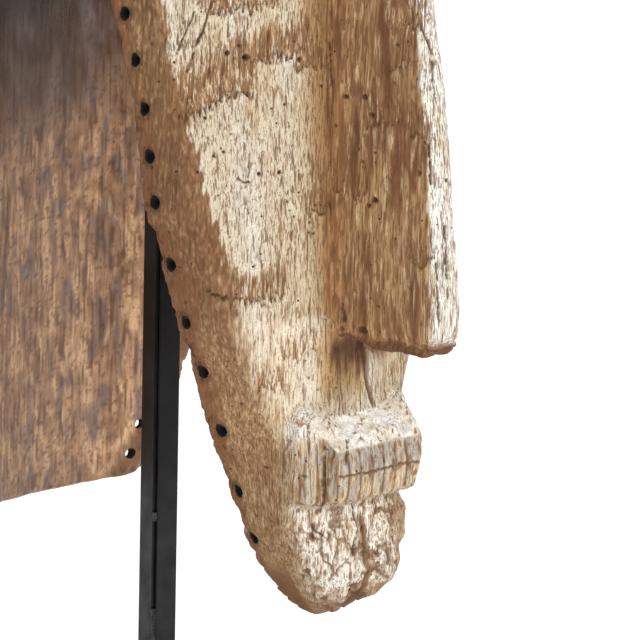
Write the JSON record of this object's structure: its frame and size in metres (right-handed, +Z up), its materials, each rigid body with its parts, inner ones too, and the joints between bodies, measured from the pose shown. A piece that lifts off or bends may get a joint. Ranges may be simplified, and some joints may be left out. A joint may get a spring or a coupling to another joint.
{
  "type": "helmet mask on display stand",
  "caption": "Tall carved wooden helmet mask with a long narrow nose, a tooth band and laced flap rims, lifting off a dark steel post with a padded armature and round base.",
  "frame": {"origin": "centre of the base felt's underside, on the post's axis", "axes": "+Z up along the post, the mask faces -Y, +X to the right seen from the front"},
  "size_m": [0.3, 0.389, 0.73],
  "materials": {
    "mask_wood": "dry, eroded, weathered outside and smooth worn inside",
    "post_steel": "satin black paint",
    "base_steel": "matte black powder coat",
    "weld": "painted weld bead",
    "felt": "wool felt",
    "screw_steel": "zinc plated"
  },
  "bodies": {
    "base": {"base_plate": "base_steel", "base_felt": "felt", "base_socket": "base_steel", "socket_weld": "weld", "clamp_nut": "screw_steel"},
    "clamp": {"clamp_screw": "screw_steel"},
    "armature": {"post_angle_left": "post_steel", "post_angle_right": "post_steel", "post_stitch_welds": "weld", "arm_hub": "post_steel", "crown_plate": "post_steel", "crown_pad": "felt", "front_arm": "post_steel", "rear_arm": "post_steel", "left_arm": "post_steel", "right_arm": "post_steel", "front_arm_pad": "felt", "rear_arm_pad": "felt", "left_arm_pad": "felt", "right_arm_pad": "felt"},
    "mask": {"mask_shell": "mask_wood"}
  },
  "joints": [
    {"name": "clamp_screw_turn", "type": "hinge", "parent": "base", "child": "clamp", "pos_m": [0, 0, 0.042], "axis": [0.2079, 0.9781, 0], "range_deg": [0, 720]},
    {"name": "post_lift", "type": "slide", "parent": "base", "child": "armature", "axis": [0, 0, 1], "range_m": [0, 0.062]},
    {"name": "mask_lift", "type": "slide", "parent": "armature", "child": "mask", "axis": [0, 0, 1], "range_m": [0, 0.57]}
  ]
}
